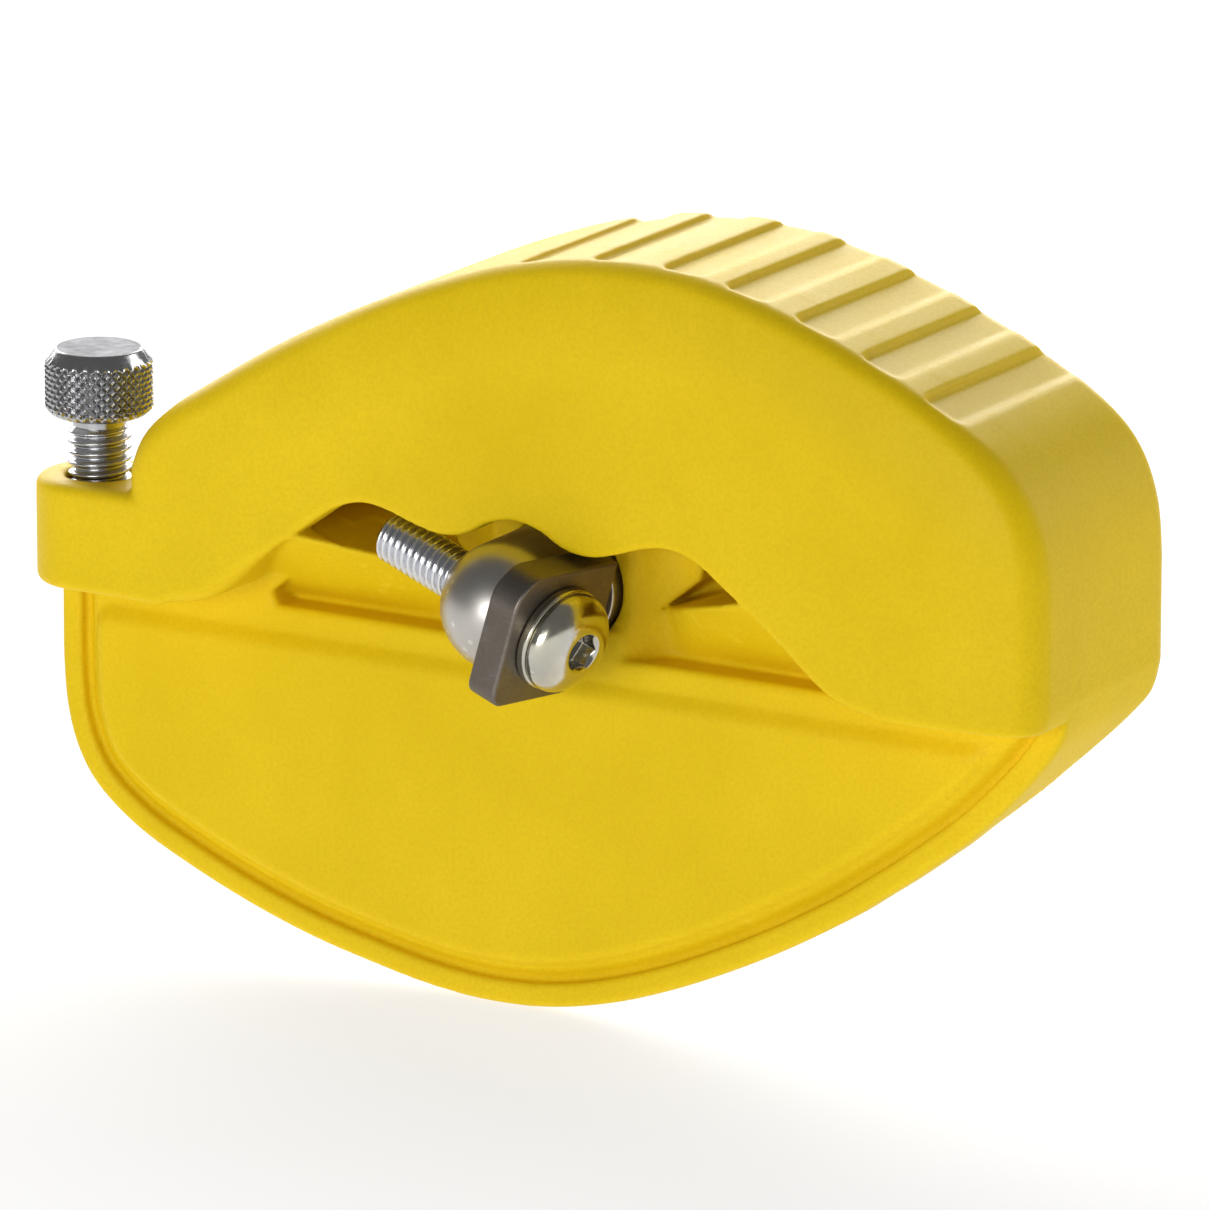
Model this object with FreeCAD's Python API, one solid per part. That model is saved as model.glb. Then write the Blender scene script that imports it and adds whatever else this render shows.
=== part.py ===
import FreeCAD, Part
import os
import math
from FreeCAD import Vector as V

# Sidewall planer for ski and snowboard edges, in millimetres.
# X runs along the edge being planed, Y from front to back, Z up.
# X = 0 is the cutter carrier's axis, which runs along Y.
# Y = 0 is the base guide face, which lies on the ski's base.
# Z = 0 is the edge guide plane, the underside of the overhang.
# The exported origin lies on the base guide face, ORIGIN_DROP below the edge guide plane.

ORIGIN_DROP = 16.0
FAR = 60                    # beyond the housing on any side
FLAT = 1e-3                 # tolerance when edges are picked by their plane

# ---- housing
Y_FRONT = -7.0              # front face of the overhang
Y_BACK = 19.5               # back face of the body
Y_RIM = 0.8                 # rim of the guide plate, behind the base guide face
Y_PLATE = 4.6               # back of the thin guide plate
FRONT_FILLET = 2.6
BACK_FILLET = 3.0
SLOPE_TOP = (Y_BACK, 0.3)       # the underside slopes down and forward from here (Y, Z)
SLOPE_LOW = (Y_PLATE, -10.7)    # to the back of the guide plate
LEFT_X = -41.8
RIGHT_X = 52.8
RIM_LEFT_X = -53.8
WALL = 2.8
COVER_T = 2.6
SEAT_Y = Y_BACK - COVER_T   # the rear cover's seat
RIBS_X = (-21.0, 22.0)
RIB_HALF_T = 0.9

# ---- ear at the left end, which carries the depth screw
EAR_X = -47.9
EAR_Y = -1.1
EAR_R = 5.9
EAR_TOP = 10.0
EAR_INNER_X = -38.4         # where the ear ends inside the body

# ---- cutter carrier
PIN_Z = 5.5
PIN_R = 6.0
BALL_Y = -7.8
PIN_END_Y = 14.3
SLEEVE_R = 7.5
SLEEVE_Y0, SLEEVE_Y1 = 5.0, 16.6
HUB_EDGE = 6.9              # where the hub's front flanks start, on its face
RECESS_Y = 4.4              # floor of the recess either side of the hub
HUB_R = 11.0                # round hub standing out of the underside behind the guide plate
RUN = 0.04                  # radial running clearance
SCREW_AXIS = V(0.942, -0.195, -0.272).normalize()   # from the threaded tip to the head
BALL = V(0, BALL_Y, PIN_Z)
BLADE_SEAT = 2.8            # flat on the ball, from its centre
BLADE_T = 3.2
BLADE_SIDE = 12.7
BLADE_HOLE_R = 2.65
WASHER_T = 1.0
WASHER_R = 4.9
STACK_GAP = 0.01            # between seat, blade, washer and screw head
BLADE_SCREW_L = 22.0
M5_CREST = 2.42
M5_PITCH = 0.8

# ---- depth screw, its insert and its foot
M6_CREST = 2.95
M6_PITCH = 1.0
HEAD_R = 5.0
HEAD_Z0 = 15.5
HEAD_H = 6.4
DEPTH_TIP_Z = 2.6           # lower end of the thread, on the foot
FOOT_Z0 = 0.35
FOOT_R = 1.75               # slim enough to pass in front of the guide plate
FOOT_H = DEPTH_TIP_Z - FOOT_Z0 - 0.02
DEPTH_INSERT_R = 4.2
DEPTH_INSERT_Z0 = 4.7

# ---- clamp screw under the hub
CLAMP_Y = 8.2
CLAMP_BOSS_R = 6.2
CLAMP_BOSS_Z = -10.4
CLAMP_INSERT_R = 4.0
CLAMP_PAD_R = 2.6
CLAMP_PAD_TOP = PIN_Z - SLEEVE_R - 0.02
CLAMP_PAD_LOW = CLAMP_PAD_TOP - 1.9
CLAMP_SCREW_Z = CLAMP_PAD_LOW - 0.02    # upper end of the clamp screw

# ---- rear cover and its screws
COVER_DISC_R = 9.0          # round part of the cover behind the carrier
COVER_GAP = 0.12
COVER_SCREWS = [(-33.2, 8.6), (-12.5, 27.2), (44.6, 8.6), (31.5, 27.6)]     # X, Z
COVER_BOSS_R = 3.6
PILOT_R = 1.3
COVER_HOLE_R = 1.7
COVER_SCREW_L = 10.3

# ---- finger grooves on top
GROOVE_X = (-1.5, 6.1, 13.4, 20.1, 27.2, 33.8, 40.3)    # each groove's steep wall
GROOVE_W = 3.7
GROOVE_D = 0.55
GROOVE_Y0 = -3.6

# Top of the body from left to right (X, Z)
TOP = [
    (-41.6, 12.6), (-40.2, 15.7), (-37.3, 18.5), (-33.8, 20.9), (-27.3, 25.0),
    (-20.8, 28.5), (-14.4, 31.5), (-8.1, 34.0), (-2.5, 35.8), (3.8, 37.1),
    (10.1, 37.6), (16.3, 37.3), (22.6, 36.0), (28.7, 34.1), (34.9, 31.6),
    (41.0, 28.7), (47.2, 24.9), (50.5, 21.4), (52.3, 16.8), (RIGHT_X, 11.5)]
# Whole body outline, with the straight side walls run down past the underside
OUTLINE = [
    (LEFT_X, -14.0), (LEFT_X, -6.0), (LEFT_X, 2.0), (LEFT_X, 8.0), (-41.7, 10.6), *TOP,
    (RIGHT_X, 7.0), (RIGHT_X, 2.0), (RIGHT_X, -6.0), (RIGHT_X, -14.0)]
# Lower rim of the guide plate from right to left (X, Z)
RIM = [
    (51.9, -1.4), (49.8, -4.6), (46.4, -8.5), (42.6, -12.2), (39.5, -14.7),
    (36.5, -17.0), (33.4, -19.2), (30.4, -21.3), (24.2, -25.0), (18.0, -28.2),
    (11.7, -31.0), (5.4, -33.2), (-1.0, -34.6), (-7.4, -35.0), (-13.8, -34.5),
    (-20.3, -33.3), (-26.8, -31.8), (-33.4, -29.7), (-39.9, -27.1), (-45.6, -24.3),
    (-49.9, -21.0), (-52.2, -17.6), (-53.4, -13.6), (RIM_LEFT_X, -9.0), (RIM_LEFT_X, -4.0)]
RIM_ROW = [(RIGHT_X, 3.0), (RIGHT_X, 1.0), *RIM, (RIM_LEFT_X, 0.0), (RIM_LEFT_X, 3.0)]
# Right half of the window in the overhang's face (X, Z)
WINDOW = [
    (0.0, 13.1), (2.6, 12.55), (4.6, 11.45), (6.3, 10.9), (8.3, 10.85), (10.6, 11.4),
    (13.6, 12.35), (16.25, 12.6), (19.0, 11.7), (21.9, 9.7), (26.6, 6.2), (30.6, 2.6),
    (33.4, 0.9), (36.6, 0.0)]
# Right-hand recess beside the hub: outline (X, Z), then its section in plan (X, Y)
RECESS = [
    (29.0, -0.6), (30.0, 0.8), (26.7, 3.8), (21.2, 8.0), (17.9, 10.6), (14.6, 11.6),
    (8.6, 10.8), (HUB_EDGE, 10.6), (HUB_EDGE, -0.6)]
RECESS_PLAN = [
    (HUB_EDGE, Y_RIM - 0.6), (HUB_EDGE, 1.25), (9.8, RECESS_Y), (31, RECESS_Y),
    (31, Y_RIM - 0.6)]
# Shallow clearance round the hub's face (X, Z)
AROUND_HUB = [
    (-8.7, 2.6), (8.7, 2.6), (8.7, 10.8), (4.6, 11.45), (0, 13.1), (-4.6, 11.45),
    (-8.7, 10.8)]
# Lower wall of the right-hand swing pocket: its inner end and its slope
LIP_X, LIP_Z, LIP_SLOPE = 9.3, 3.8, 0.35
# Inclined face that closes the recess outwards: its normal and a point on it
SCOOP_NORMAL = V(11.23, 57.5, 101.4)
SCOOP_POINT = V(13.7, Y_RIM, 5.34)
SCOOP_BACK_Y = 5.2


# ------------------------------------------------------------------ shape helpers
def polygon(points):
    return Part.Face(Part.makePolygon(points + [points[0]]))


def poly(points, y0, y1):
    """A prism along Y from (X, Z) corners."""
    return polygon([V(x, y0, z) for x, z in points]).extrude(V(0, y1 - y0, 0))


def cyl(radius, start, direction, length):
    return Part.makeCylinder(radius, length, start, direction)


def ycyl(radius, x, z, y0, y1):
    return cyl(radius, V(x, y0, z), V(0, 1, 0), y1 - y0)


def zcyl(radius, x, y, z0, z1):
    return cyl(radius, V(x, y, z0), V(0, 0, 1), z1 - z0)


def box(x0, x1, y0, y1, z0, z1):
    return Part.makeBox(x1 - x0, y1 - y0, z1 - z0, V(x0, y0, z0))


def interpolated(points, y):
    curve = Part.BSplineCurve()
    curve.interpolate([V(x, y, z) for x, z in points])
    return curve.toShape()


def approximated(points, y, tolerance=0.05):
    curve = Part.BSplineCurve()
    curve.approximate(Points=[V(x, y, z) for x, z in points], DegMin=3, DegMax=5,
                      Tolerance=tolerance)
    return curve.toShape()


def curve_prism(edge, y0, y1, corners=()):
    """A prism along Y from a curved edge at y0, closed by lines through the corners."""
    start, end = [edge.Curve.value(t) for t in edge.ParameterRange]
    path = [V(end.x, y0, end.z)] + [V(x, y0, z) for x, z in corners]
    path.append(V(start.x, y0, start.z))
    lines = [Part.makeLine(a, b) for a, b in zip(path, path[1:])]
    face = Part.Face(Part.Wire(Part.__sortEdges__([edge] + lines)))
    return face.extrude(V(0, y1 - y0, 0))


def set_along(shape, start, direction):
    """Places a shape built up Z from the origin at start, along direction."""
    shape.Placement = FreeCAD.Placement(start, FreeCAD.Rotation(V(0, 0, 1), direction))
    return shape


def turned(profile, start, direction):
    """A solid of revolution from (radius, height) points."""
    face = polygon([V(r, 0, height) for r, height in profile])
    return set_along(face.revolve(V(0, 0, 0), V(0, 0, 1), 360), start, direction)


def thread(start, direction, crest, pitch, length, chamfer=0.6):
    """A screw shank with annular thread grooves."""
    root = crest - 0.61 * pitch
    profile = [(0, 0), (crest - chamfer, 0), (crest, chamfer)]
    z = chamfer + 0.25 * pitch
    while z + pitch < length - 0.1:
        profile += [(crest, z), (root, z + 0.44 * pitch), (root, z + 0.56 * pitch),
                    (crest, z + 0.92 * pitch)]
        z += pitch
    return turned(profile + [(crest, length), (0, length)], start, direction)


def hex_prism(across, start, direction, height):
    radius = across / 2 / math.cos(math.pi / 6)
    angles = [math.radians(60 * i + 30) for i in range(6)]
    face = polygon([V(radius * math.cos(a), radius * math.sin(a), 0) for a in angles])
    return set_along(face.extrude(V(0, 0, height)), start, direction)


def ring_groove(x, y, z, floor_r):
    """Cutter for a groove 0.5 high round an upright insert."""
    return zcyl(5, x, y, z, z + 0.5).cut(zcyl(floor_r, x, y, z - 1, z + 1.5))


def flat_solid(first, last):
    """A closed solid with flat faces between two rings of the same number of corners."""
    faces = [polygon(first), polygon(last)]
    for i in range(len(first)):
        j = (i + 1) % len(first)
        faces.append(polygon([first[i], first[j], last[j], last[i]]))
    solid = Part.makeSolid(Part.makeShell(faces))
    if solid.Volume < 0:
        solid.reverse()
    return solid


def both_sides(shape):
    return [shape, shape.mirror(V(0, 0, 0), V(1, 0, 0))]


def one(shape):
    """The merged solid; the largest one if there are loose bits."""
    return max(shape.removeSplitter().Solids, key=lambda solid: solid.Volume)


def at_y(edge, y):
    """Whether the edge lies flat in the plane at y."""
    bounds = edge.BoundBox
    return bounds.YLength < FLAT and abs(bounds.YMin - y) < FLAT


def fillet(shape, radius, pick):
    """Rounds the picked edges."""
    edges = [e for e in shape.Edges if pick(e)]
    if not edges:
        return shape
    # A fillet may fail or break the solid at full size: smaller ones are tried in turn,
    # and the edges stay sharp if none works.
    for scale in (1, 0.8, 0.55, 0.3):
        try:
            rounded = shape.makeFillet(radius * scale, edges)
            if rounded.isValid() and len(rounded.Solids) == 1:
                return rounded.Solids[0]
        except Exception:
            pass
    return shape


def inset(points, distance):
    """Moves an open row of (X, Z) points to the right of its direction.

    TOP and RIM both run clockwise seen from the front, so that is inwards.
    """
    moved = []
    for i, (x, z) in enumerate(points):
        before = points[max(i - 1, 0)]
        after = points[min(i + 1, len(points) - 1)]
        dx, dz = after[0] - before[0], after[1] - before[1]
        length = math.hypot(dx, dz)
        moved.append((x + distance * dz / length, z - distance * dx / length))
    return moved


def save(name, shape):
    placed = shape.copy()
    placed.translate(V(0, 0, ORIGIN_DROP))
    placed.exportStep("parts/" + name + ".step")


# ------------------------------------------------------------------ housing: outer form
def rim_prism(y0, y1):
    return curve_prism(approximated(RIM_ROW, y0, 0.02), y0, y1)


def body_block():
    body = curve_prism(approximated(OUTLINE, Y_FRONT), Y_FRONT, Y_BACK)
    for y, radius in ((Y_FRONT, FRONT_FILLET), (Y_BACK, BACK_FILLET)):
        body = fillet(body, radius, lambda e: at_y(e, y) and e.BoundBox.ZMax > 11)
    # The underside is flat under the overhang and rises to the back behind the plate.
    side = [(Y_FRONT - 1, 0.0), (Y_FRONT - 1, 50.0), (Y_BACK + 1, 50.0),
            (Y_BACK + 1, SLOPE_TOP[1]), SLOPE_TOP, SLOPE_LOW, (Y_RIM + 1.0, -11.7),
            (Y_RIM + 1.0, 0.0)]
    body = body.common(polygon([V(-FAR, y, z) for y, z in side]).extrude(V(2 * FAR, 0, 0)))
    within_rim = rim_prism(Y_FRONT - 1, Y_BACK + 1)
    above = box(-FAR, FAR, Y_FRONT - 1, Y_BACK + 1, 0.5, FAR)
    return one(body.common(within_rim.fuse(above)))


def guide_plate():
    plate = rim_prism(Y_RIM, Y_PLATE)
    for y, radius in ((Y_RIM, 0.8), (Y_PLATE, 1.2)):
        plate = fillet(plate, radius, lambda e: at_y(e, y) and e.BoundBox.ZMin < -20)
    return plate


def ear_block():
    block = box(EAR_X, EAR_INNER_X, EAR_Y - EAR_R, EAR_Y + EAR_R, 0, EAR_TOP)
    ear = one(zcyl(EAR_R, EAR_X, EAR_Y, 0, EAR_TOP).fuse(block))

    def top_edge(edge):
        bounds = edge.BoundBox
        return (bounds.ZLength < FLAT and abs(bounds.ZMin - EAR_TOP) < FLAT
                and bounds.XMin < EAR_INNER_X - 0.1)

    return fillet(ear, 0.8, top_edge)


def base_guide_pad():
    """Raised base guide face: the rim pulled in by 3 mm, straight along its top."""
    top_z = -3.1
    low = [p for p in inset(RIM, 3.0) if p[1] < -7.0]
    row = [(40.5, top_z), (43.3, -3.9), (44.2, -6.0)] + [p for p in low if p[0] < 43.0]
    row.append((low[-1][0], top_z))
    pad = curve_prism(interpolated(row, 0.0), 0.0, Y_RIM + 0.5)
    front = [e for e in pad.Edges if at_y(e, 0)]
    # The chamfer may fail round the top corners: then only the lower edge gets it.
    for edges in (front, [e for e in front if e.BoundBox.ZMin < -20]):
        try:
            chamfered = pad.makeChamfer(0.7, edges)
            if chamfered.isValid():
                return chamfered
        except Exception:
            pass
    return pad


def outer_form():
    hub = ycyl(HUB_R, 0, PIN_Z, Y_PLATE - 0.5, Y_BACK)
    hub = fillet(hub, 1.5, lambda e: at_y(e, Y_BACK))
    form = one(body_block().fuse(hub).fuse(guide_plate()).fuse(ear_block()))
    return one(form.fuse(base_guide_pad()))


# ------------------------------------------------------------------ housing: front openings
def lip_z(x):
    return LIP_Z + LIP_SLOPE * (x - LIP_X)


def scoop_section(x):
    """Triangle under the pocket's lower wall, behind the inclined face."""
    normal, point = SCOOP_NORMAL, SCOOP_POINT
    top = lip_z(x)
    along = normal.x * (x - point.x)
    front = point.y - (along + normal.z * (top - point.z)) / normal.y
    low = point.z - (normal.y * (SCOOP_BACK_Y - point.y) + along) / normal.z
    return [V(x, SCOOP_BACK_Y, low), V(x, front, top), V(x, SCOOP_BACK_Y, top)]


def open_front(outer):
    """Cuts the window, the recesses beside the hub and the blade screw's swing pockets."""
    row = [(-x, z) for x, z in WINDOW[:0:-1]] + WINDOW
    half_width = WINDOW[-1][0]
    opening = curve_prism(interpolated(row, Y_FRONT - 1), Y_FRONT - 1, Y_RIM,
                          [(half_width, -2.0), (-half_width, -2.0)])
    opening = opening.fuse(poly(AROUND_HUB, Y_RIM - 0.5, 1.6))
    plan = polygon([V(x, y, -1) for x, y in RECESS_PLAN]).extrude(V(0, 0, 15))
    recess = poly(RECESS, Y_RIM - 0.5, RECESS_Y).common(plan)
    scoop = flat_solid(scoop_section(LIP_X), scoop_section(31.0)).common(outer)
    pocket = poly([(8.9, 3.66), (LIP_X, LIP_Z), (26.4, lip_z(26.4)), (26.4, 14.0),
                   (14.4, 14.0), (12.8, 6.8)], Y_FRONT + WALL + 0.2, 9.4)
    for piece in both_sides(recess):
        opening = opening.fuse(piece)
    outer = one(outer.cut(opening))
    for piece in both_sides(scoop):
        outer = outer.fuse(piece)
    outer = one(outer)
    for piece in both_sides(pocket):
        outer = outer.cut(piece)
    return one(outer)


# ------------------------------------------------------------------ housing: inside
def core(y0, zmin):
    """Hollow inside the walls and above zmin, from y0 back to the cover's seat."""
    row = inset([(-38.6, 5.0)] + TOP[1:-1] + [(RIGHT_X, 8.0)], WALL)
    row = [p for p in row if p[1] > zmin]
    return poly(row + [(row[-1][0], zmin), (row[0][0], zmin)], y0, SEAT_Y + 0.01)


def cover_face(grow, y0, y1):
    """The rear cover's outline, grown sideways by grow."""
    row = inset([(-39.9, 4.0)] + TOP[1:-1] + [(RIGHT_X, 7.0)], 1.9 + BACK_FILLET * 0.55)
    row = inset([p for p in row if p[1] > 3.0], -grow)
    row = [(x, max(z, 3.6)) for x, z in row]
    return poly(row + [(row[-1][0], 3.2 - grow), (row[0][0], 3.2 - grow)], y0, y1)


def hollow_out(outer):
    """Cores the housing from the back, leaving the hub, ribs and screw bosses."""
    cavity = core(11.6, 3.2).fuse(core(Y_FRONT + 3.0, 16.4))
    keep = ycyl(10.4, 0, PIN_Z, 3.0, SEAT_Y)
    for x in RIBS_X:
        keep = keep.fuse(box(x - RIB_HALF_T, x + RIB_HALF_T, Y_FRONT + 2, SEAT_Y - 0.4,
                             14.0, 38.0))
    for x, z in COVER_SCREWS:
        keep = keep.fuse(ycyl(COVER_BOSS_R, x, z, Y_FRONT + 2.5, SEAT_Y - 0.05))
    outer = one(outer.cut(cavity.cut(keep)))
    seat_disc = ycyl(COVER_DISC_R + COVER_GAP, 0, PIN_Z, SEAT_Y, Y_BACK + 1)
    return one(outer.cut(cover_face(COVER_GAP, SEAT_Y, Y_BACK + 1).fuse(seat_disc)))


def bore(outer):
    """Bores for the carrier, depth screw, clamp screw and cover screws; adds the clamp boss."""
    outer = outer.cut(ycyl(PIN_R + 0.3, 0, PIN_Z, -1, SLEEVE_Y0 + 0.1))
    outer = outer.cut(ycyl(SLEEVE_R + RUN, 0, PIN_Z, SLEEVE_Y0 - 0.05, SEAT_Y + 0.1))
    for radius, z0, z1 in ((M6_CREST + 0.2, -1, EAR_TOP + 1),
                           (DEPTH_INSERT_R, DEPTH_INSERT_Z0 - 0.1, EAR_TOP - 0.9),
                           (3.3, -1, DEPTH_INSERT_Z0)):
        outer = outer.cut(zcyl(radius, EAR_X, EAR_Y, z0, z1))
    boss = zcyl(CLAMP_BOSS_R, 0, CLAMP_Y, CLAMP_BOSS_Z, -1.0)
    boss = boss.cut(ycyl(SLEEVE_R + RUN, 0, PIN_Z, SLEEVE_Y0 - 0.05, Y_BACK))
    outer = one(outer.fuse(boss))
    outer = outer.cut(zcyl(CLAMP_PAD_R + 0.05, 0, CLAMP_Y, -12, 0.5))
    outer = outer.cut(zcyl(CLAMP_INSERT_R, 0, CLAMP_Y, -12, -4.6))
    for x, z in COVER_SCREWS:
        outer = outer.cut(ycyl(PILOT_R, x, z, SEAT_Y - 9.0, SEAT_Y + 1))
    return outer


def outline_at(edge, x):
    """Point, tangent and outward normal of the outline where it reaches x."""
    low, high = edge.ParameterRange
    for _ in range(60):
        middle = (low + high) / 2
        if edge.Curve.value(middle).x < x:
            low = middle
        else:
            high = middle
    tangent = edge.Curve.tangent(low)[0]
    return edge.Curve.value(low), tangent, V(-tangent.z, 0, tangent.x)


def cut_grooves(outer):
    edge = approximated(OUTLINE, 0.0)
    for x in GROOVE_X:
        start, tangent, normal = outline_at(edge, x)
        end, end_tangent, end_normal = outline_at(edge, (start + tangent * GROOVE_W).x)
        corners = [start - normal * GROOVE_D,
                   end - end_normal * (GROOVE_D * 0.55),
                   end + end_normal * 0.9 + end_tangent * 0.9,
                   start + normal * 2.0]
        outer = outer.cut(poly([(c.x, c.z) for c in corners], GROOVE_Y0, Y_BACK + 1))
    return outer


def front_housing():
    return one(cut_grooves(bore(hollow_out(open_front(outer_form())))))


# ------------------------------------------------------------------ rear cover
def rear_cover():
    y0 = SEAT_Y + 0.02
    disc = ycyl(COVER_DISC_R, 0, PIN_Z, y0, Y_BACK)
    cover = one(cover_face(0.0, y0, Y_BACK).fuse(disc))
    cover = fillet(cover, 0.5, lambda e: at_y(e, Y_BACK))
    # A round spigot reaches forward to just behind the sleeve.
    cover = cover.fuse(ycyl(SLEEVE_R - 0.2, 0, PIN_Z, SLEEVE_Y1 + 0.15, SEAT_Y + 0.5))
    for x, z in COVER_SCREWS:
        cover = cover.cut(ycyl(COVER_HOLE_R, x, z, 0, Y_BACK + 1))
        countersink = Part.makeCone(COVER_HOLE_R, 3.3, 1.65, V(x, Y_BACK - 1.6, z), V(0, 1, 0))
        cover = cover.cut(countersink)
    return one(cover)


def cover_screws():
    """Four countersunk screws with their tips forward."""
    profile = [(0, 0), (0.5, 0), (1.5, 1.6), (1.5, 8.6), (3.0, 10.1), (3.0, COVER_SCREW_L),
               (0, COVER_SCREW_L)]
    back = V(0, 1, 0)
    screws = []
    for x, z in COVER_SCREWS:
        screw = turned(profile, V(x, Y_BACK - COVER_SCREW_L - 0.05, z), back)
        screws.append(screw.cut(hex_prism(2.0, V(x, Y_BACK - 1.5, z), back, 3)))
    return Part.makeCompound(screws)


# ------------------------------------------------------------------ cutter carrier
def clamp_sleeve():
    """Bush round the pin, split along its top."""
    sleeve = ycyl(SLEEVE_R, 0, PIN_Z, SLEEVE_Y0 + 0.12, SLEEVE_Y1)
    sleeve = sleeve.cut(ycyl(PIN_R + RUN, 0, PIN_Z, 0, 30))
    return one(sleeve.cut(box(-0.6, 0.6, 0, 30, PIN_Z + 2, PIN_Z + 12)))


def on_axis(distance):
    """Point on the blade screw's axis, from the ball's centre towards the head."""
    return BALL + SCREW_AXIS * distance


def carrier_pin():
    """Pin with a ball nose, a flat seat for the blade and a hole for its screw."""
    pin = one(ycyl(PIN_R, 0, PIN_Z, BALL_Y, PIN_END_Y).fuse(Part.makeSphere(PIN_R, BALL)))
    near_ball = box(-20, 20, BALL_Y - 12, BALL_Y + 8.4, -20, 30)
    pin = pin.cut(cyl(20, on_axis(BLADE_SEAT), SCREW_AXIS, 20).common(near_ball))
    pin = pin.cut(cyl(M5_CREST + 0.05, on_axis(-20), SCREW_AXIS, 40))
    return one(fillet(pin, 0.8, lambda e: at_y(e, PIN_END_Y)))


BLADE_Z = BLADE_SEAT + STACK_GAP            # distances along the screw's axis
WASHER_Z = BLADE_Z + BLADE_T + STACK_GAP
BLADE_HEAD_Z = WASHER_Z + WASHER_T + STACK_GAP


def blade():
    """Square blade: one sharp, one slightly clipped and two rounded corners."""
    # Axes in the blade's plane: u lies nearest to Y, w is square to it.
    u_axis = V(0, 1, 0) - SCREW_AXIS * SCREW_AXIS.y
    u_axis.normalize()
    w_axis = SCREW_AXIS.cross(u_axis)
    half = BLADE_SIDE / 2
    round_a, round_b, clip = 3.6, 3.2, 0.5

    def at(u, w):
        return BALL + u_axis * u + w_axis * w + SCREW_AXIS * BLADE_Z

    def side(start, end):
        return Part.makeLine(at(*start), at(*end))

    def corner(u, w, radius, start):
        """Quarter circle about (u, w) from the start angle in degrees."""
        angles = [math.radians(start + turn) for turn in (0, 45, 90)]
        points = [at(u + radius * math.cos(a), w + radius * math.sin(a)) for a in angles]
        return Part.Arc(*points).toShape()

    edges = [side((half, -half + round_a), (half, half)),
             side((half, half), (-half + round_b, half)),
             corner(-half + round_b, half - round_b, round_b, 90),
             side((-half, half - round_b), (-half, -half + clip)),
             side((-half, -half + clip), (-half + clip, -half)),
             side((-half + clip, -half), (half - round_a, -half)),
             corner(half - round_a, -half + round_a, round_a, -90)]
    plate = Part.Face(Part.Wire(Part.__sortEdges__(edges))).extrude(SCREW_AXIS * BLADE_T)
    return one(plate.cut(cyl(BLADE_HOLE_R, BALL, SCREW_AXIS, 20)))


def blade_washer():
    disc = cyl(WASHER_R, on_axis(WASHER_Z), SCREW_AXIS, WASHER_T)
    return one(disc.cut(cyl(BLADE_HOLE_R, BALL, SCREW_AXIS, 20)))


def blade_screw():
    """Button-head screw with a hexagon socket."""
    head_r, crown_r, rim_h, dome_h = 4.75, 2.0, 0.55, 2.2
    screw = thread(on_axis(BLADE_HEAD_Z - BLADE_SCREW_L), SCREW_AXIS, M5_CREST, M5_PITCH,
                   BLADE_SCREW_L + 0.2)
    profile = [(0, 0), (head_r - 0.2, 0), (head_r, 0.2), (head_r, rim_h)]
    for i in range(1, 10):
        angle = math.radians(9.0 * i)
        profile.append((head_r - (head_r - crown_r) * (1 - math.cos(angle)),
                        rim_h + dome_h * math.sin(angle)))
    profile += [(crown_r, rim_h + dome_h), (0, rim_h + dome_h)]
    screw = screw.fuse(turned(profile, on_axis(BLADE_HEAD_Z), SCREW_AXIS))
    return one(screw.cut(hex_prism(3.0, on_axis(BLADE_HEAD_Z + 0.9), SCREW_AXIS, 4)))


# ------------------------------------------------------------------ depth screw
PEG_R = 1.0                 # peg under the thread, in the foot
PEG_H = 1.2


def depth_screw():
    up = V(0, 0, 1)
    tip = V(EAR_X, EAR_Y, DEPTH_TIP_Z)
    screw = thread(tip, up, M6_CREST, M6_PITCH, HEAD_Z0 - 1.2 - DEPTH_TIP_Z)
    screw = screw.fuse(zcyl(2.35, EAR_X, EAR_Y, HEAD_Z0 - 1.4, HEAD_Z0 + 0.2))
    head = [(0, 0), (HEAD_R - 0.9, 0), (HEAD_R - 0.2, 0.35), (HEAD_R, 1.0),
            (HEAD_R, HEAD_H - 1.3), (HEAD_R - 1.1, HEAD_H), (0, HEAD_H)]
    screw = screw.fuse(turned(head, V(EAR_X, EAR_Y, HEAD_Z0), up))
    peg = [(0, -PEG_H), (PEG_R, -PEG_H), (PEG_R, 0.3), (0, 0.3)]
    return one(screw.fuse(turned(peg, tip, up)))


def depth_screw_insert():
    insert = zcyl(DEPTH_INSERT_R, EAR_X, EAR_Y, DEPTH_INSERT_Z0, EAR_TOP - 1.0)
    insert = insert.cut(zcyl(M6_CREST + 0.06, EAR_X, EAR_Y, 0, 20))
    for z in (5.9, 7.5):
        insert = insert.cut(ring_groove(EAR_X, EAR_Y, z, DEPTH_INSERT_R - 0.3))
    return one(insert)


def depth_foot():
    profile = [(0, 0), (FOOT_R - 0.4, 0), (FOOT_R, 0.4), (FOOT_R, FOOT_H), (0, FOOT_H)]
    foot = turned(profile, V(EAR_X, EAR_Y, FOOT_Z0), V(0, 0, 1))
    return one(foot.cut(zcyl(PEG_R + 0.05, EAR_X, EAR_Y, DEPTH_TIP_Z - PEG_H - 0.05,
                             DEPTH_TIP_Z + 1)))


# ------------------------------------------------------------------ clamp under the hub
def clamp_pad():
    """Pad hollowed on top to the sleeve's curve."""
    pad = zcyl(CLAMP_PAD_R, 0, CLAMP_Y, CLAMP_PAD_LOW, CLAMP_PAD_TOP + 0.9)
    return one(pad.cut(ycyl(SLEEVE_R + 0.02, 0, PIN_Z, 0, 30)))


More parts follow.
